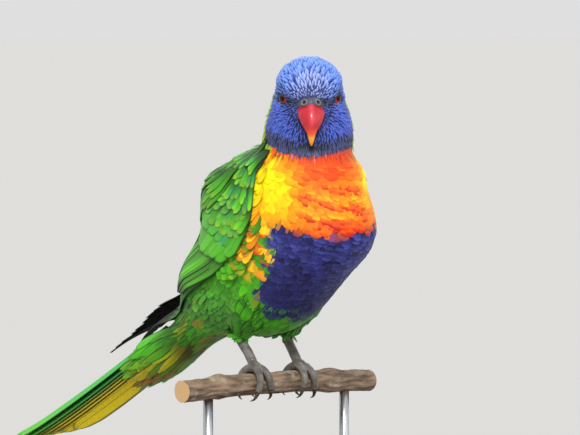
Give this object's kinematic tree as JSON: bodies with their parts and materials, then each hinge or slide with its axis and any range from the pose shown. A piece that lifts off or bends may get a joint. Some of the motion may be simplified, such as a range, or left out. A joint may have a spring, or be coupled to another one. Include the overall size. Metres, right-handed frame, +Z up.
{
  "type": "rainbow lorikeet",
  "caption": "Life-size parrot at rest with its head turned, gripping a cut length of branch held on a flat round display stand",
  "frame": {"origin": "Centre of the underside of the stand's round base, on the surface that it rests on.", "axes": "+Z up. The bird's body faces -Y and its tail points to +Y and down. The bird's right side is towards -X, and its head is turned that way. The branch lies along X."},
  "size_m": [0.132, 0.2341, 0.1886],
  "materials": {
    "plumage_blue": "soft blue-violet head feathers",
    "plumage_orange": "soft orange and yellow breast feathers",
    "plumage_green": "bright green feathers",
    "tail_feathers": "green feathers, yellow beneath",
    "bill": "smooth red keratin, yellower at the tip",
    "cere": "bare grey skin",
    "eye": "wet red eye with a black pupil",
    "foot_skin": "scaly grey skin",
    "claw": "dark horn",
    "bark": "rough grey-brown bark",
    "stand_wood": "satin dark wood",
    "stand_steel": "brushed steel"
  },
  "bodies": {
    "root": {"bill_lower": "bill", "bill_upper": "bill", "cere": "cere", "claw_inner_back_left": "claw", "claw_inner_back_right": "claw", "claw_inner_front_left": "claw", "claw_inner_front_right": "claw", "claw_outer_back_left": "claw", "claw_outer_back_right": "claw", "claw_outer_front_left": "claw", "claw_outer_front_right": "claw", "eye_left": "eye", "eye_right": "eye", "foot_left": "foot_skin", "foot_right": "foot_skin", "head": "plumage_blue", "neck": "plumage_blue", "perch": "bark", "stand_base": "stand_wood", "stand_rod_left": "stand_steel", "stand_rod_right": "stand_steel", "tail": "tail_feathers", "thigh_left": "plumage_green", "thigh_right": "plumage_green", "torso": "plumage_orange", "wing_left": "plumage_green", "wing_right": "plumage_green"}
  },
  "joints": []
}
